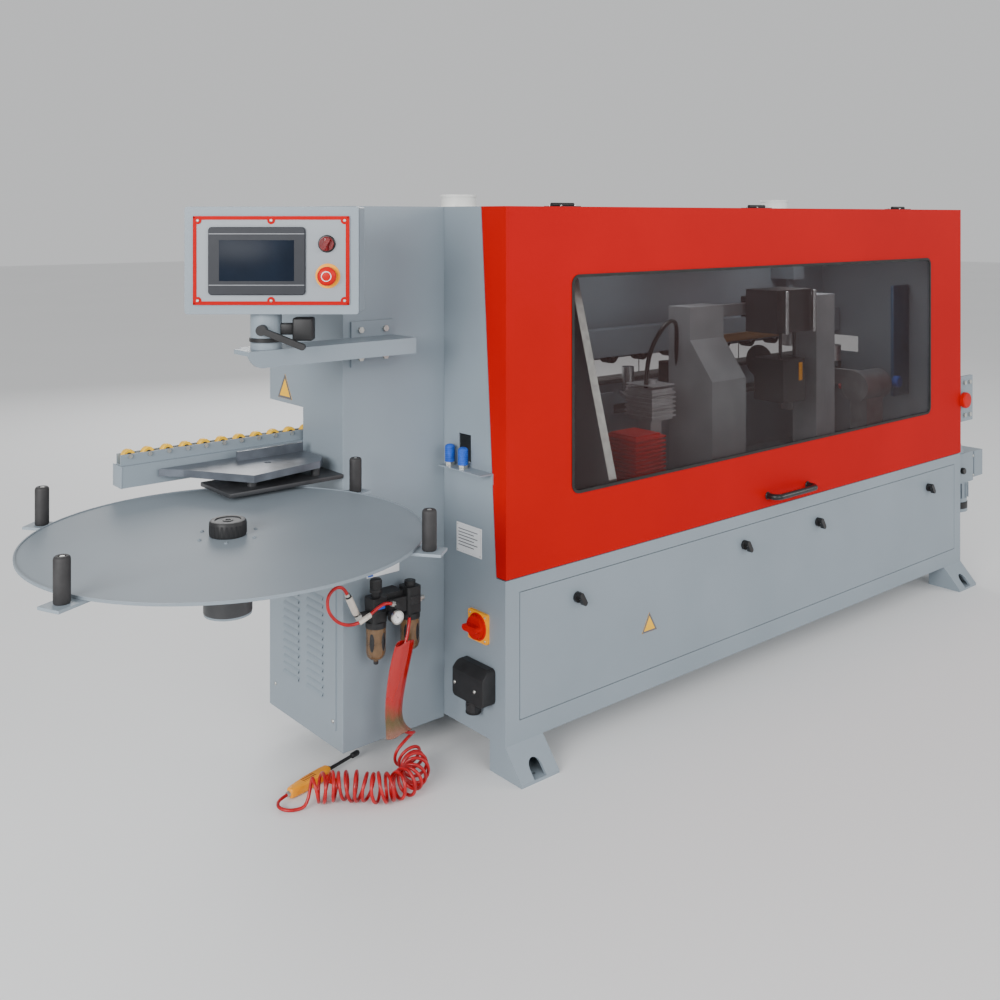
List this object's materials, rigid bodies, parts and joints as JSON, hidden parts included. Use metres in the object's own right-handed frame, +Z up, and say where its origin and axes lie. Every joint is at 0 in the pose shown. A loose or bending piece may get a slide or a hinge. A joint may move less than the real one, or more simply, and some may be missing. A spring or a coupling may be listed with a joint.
{
  "type": "edge banding machine",
  "caption": "Through-feed edge banding machine: long cabinet with a tilting windowed hood, tape reel disc, infeed roller bar, swivelling control box and working units inside.",
  "frame": {"origin": "centre of the four floor anchor holes, on the floor plane", "axes": "+X along the feed direction from infeed to outfeed, +Y from the hood side to the workpiece side, +Z up"},
  "size_m": [3.6398, 1.045, 1.442],
  "materials": {
    "grey_paint": "satin powder coat",
    "red_paint": "satin powder coat",
    "black_plastic": "matte",
    "smoked_window": "smoked clear sheet",
    "red_plastic": "satin",
    "yellow_plastic": "satin",
    "orange_plastic": "satin",
    "blue_plastic": "satin",
    "screen_plastic": "satin housing, gloss screen",
    "cast_metal": "cast and machined",
    "dark_steel": "black paint",
    "bright_steel": "ground",
    "zinc_steel": "zinc plated",
    "cast_aluminium": "cast",
    "black_rubber": "matte",
    "port_plastic": "matte",
    "bowl_plastic": "clear amber",
    "sleeve_film": "clear red film",
    "hose_plastic": "glossy tube"
  },
  "bodies": {
    "frame": {"base_cabinet": "grey_paint", "floor_feet": "grey_paint", "left_end_plate": "grey_paint", "right_end_plate": "grey_paint", "rear_cover": "grey_paint", "infeed_tower": "grey_paint", "louvre_panel": "grey_paint", "control_bracket": "grey_paint", "reel_bracket": "grey_paint", "reel_arms": "grey_paint", "roller_bar": "grey_paint", "feed_beam": "grey_paint", "partition_wall": "grey_paint", "drive_gearbox": "grey_paint", "drive_motor": "grey_paint", "tape_table": "cast_metal", "unit_columns": "cast_metal", "glue_guard": "red_paint", "hood_hinges": "black_plastic", "power_inlet": "black_plastic", "grip_posts": "black_plastic", "air_unit": "black_plastic", "feed_chain": "black_plastic", "mains_switch_plate": "yellow_plastic", "support_wheels": "yellow_plastic", "blow_gun": "orange_plastic", "exhaust_silencers": "blue_plastic", "fasteners": "zinc_steel", "glue_tank": "cast_aluminium", "finishing_motors": "cast_aluminium", "dust_ports": "port_plastic", "air_bowls": "bowl_plastic", "hose_sleeve": "sleeve_film", "loop_hose": "hose_plastic", "spiral_hose": "hose_plastic"},
    "hood": {"hood_shell": "red_paint", "hood_window": "smoked_window", "hood_handle": "black_plastic", "hinge_leaves": "black_plastic"},
    "panel": {"service_panel": "grey_paint"},
    "control": {"control_box": "grey_paint", "touch_panel": "screen_plastic"},
    "selector": {"selector_knob": "red_plastic"},
    "stop": {"stop_button": "red_plastic"},
    "lever": {"clamp_lever": "black_plastic"},
    "mains": {"mains_knob": "red_plastic"},
    "reel": {"reel_disc": "grey_paint", "hub_knob": "black_plastic"},
    "regulator": {"regulator_knob": "black_plastic"},
    "drum": {"drive_drum": "bright_steel"},
    "glue_roll": {"glue_roller": "bright_steel"},
    "press_roll": {"press_roller": "black_rubber"},
    "saw": {"end_trim_saw": "dark_steel"},
    "press": {"pressure_beam": "grey_paint", "pressure_wheels": "black_rubber"},
    "trigger": {"gun_trigger": "orange_plastic"},
    "turn_latch_1": {"latch_1": "black_plastic"},
    "turn_latch_2": {"latch_2": "black_plastic"},
    "turn_latch_3": {"latch_3": "black_plastic"},
    "turn_latch_4": {"latch_4": "black_plastic"}
  },
  "joints": [
    {"name": "hood_tilt", "type": "hinge", "parent": "frame", "child": "hood", "pos_m": [0, -0.206, 1.413], "axis": [-1, 0, 0], "range_deg": [0, 75]},
    {"name": "panel_tilt", "type": "hinge", "parent": "frame", "child": "panel", "pos_m": [0, -0.3, 0.133], "axis": [1, 0, 0], "range_deg": [0, 80]},
    {"name": "latch_turn_1", "type": "hinge", "parent": "panel", "child": "turn_latch_1", "pos_m": [-0.89, -0.3, 0.394], "axis": [0, -1, 0], "range_deg": [0, 90]},
    {"name": "latch_turn_2", "type": "hinge", "parent": "panel", "child": "turn_latch_2", "pos_m": [-0.19, -0.3, 0.394], "axis": [0, -1, 0], "range_deg": [0, 90]},
    {"name": "latch_turn_3", "type": "hinge", "parent": "panel", "child": "turn_latch_3", "pos_m": [0.194, -0.3, 0.394], "axis": [0, -1, 0], "range_deg": [0, 90]},
    {"name": "latch_turn_4", "type": "hinge", "parent": "panel", "child": "turn_latch_4", "pos_m": [0.894, -0.3, 0.394], "axis": [0, -1, 0], "range_deg": [0, 90]},
    {"name": "control_swivel", "type": "hinge", "parent": "frame", "child": "control", "pos_m": [-1.687, -0.115, 1.14], "axis": [0, 0, 1], "range_deg": [-60, 60]},
    {"name": "selector_turn", "type": "hinge", "parent": "control", "child": "selector", "pos_m": [-1.61219, -0.25252, 1.321], "axis": [-0.6468, -0.7627, 0], "range_deg": [-45, 45]},
    {"name": "stop_press", "type": "slide", "parent": "control", "child": "stop", "axis": [0.6468, 0.7627, 0], "range_m": [0, 0.006], "stiffness_N_per_m": 1500, "springref_m": -0.002},
    {"name": "clamp_turn", "type": "hinge", "parent": "control", "child": "lever", "pos_m": [-1.7099, -0.142, 1.129], "axis": [-0.6468, -0.7627, 0], "range_deg": [0, 30]},
    {"name": "mains_turn", "type": "hinge", "parent": "frame", "child": "mains", "pos_m": [-1.145, -0.201, 0.349], "axis": [-1, 0, 0], "range_deg": [0, 90]},
    {"name": "reel_spin", "type": "hinge", "parent": "frame", "child": "reel", "pos_m": [-1.864, -0.284, 0.732], "axis": [0, 0, 1], "continuous": true},
    {"name": "regulator_turn", "type": "hinge", "parent": "frame", "child": "regulator", "pos_m": [-1.381, -0.1, 0.47], "axis": [0, 0, 1], "range_deg": [-180, 180]},
    {"name": "drum_spin", "type": "hinge", "parent": "frame", "child": "drum", "pos_m": [1.045, 0.23, 0.783], "axis": [0, 1, 0], "continuous": true},
    {"name": "glue_roller_spin", "type": "hinge", "parent": "frame", "child": "glue_roll", "pos_m": [-0.251, 0.118, 0.85], "axis": [0, 0, 1], "continuous": true},
    {"name": "press_roller_spin", "type": "hinge", "parent": "frame", "child": "press_roll", "pos_m": [-0.067, 0.102, 0.85], "axis": [0, 0, 1], "continuous": true},
    {"name": "saw_travel", "type": "slide", "parent": "frame", "child": "saw", "axis": [1, 0, 0], "range_m": [-0.06, 0.06]},
    {"name": "beam_lift", "type": "slide", "parent": "frame", "child": "press", "axis": [0, 0, 1], "range_m": [-0.04, 0]},
    {"name": "trigger_pull", "type": "hinge", "parent": "frame", "child": "trigger", "pos_m": [-1.47687, -0.02826, 0.014], "axis": [0, 0, -1], "range_deg": [0, 12], "stiffness_Nm_per_rad": 0.5, "springref_deg": -5.73}
  ]
}
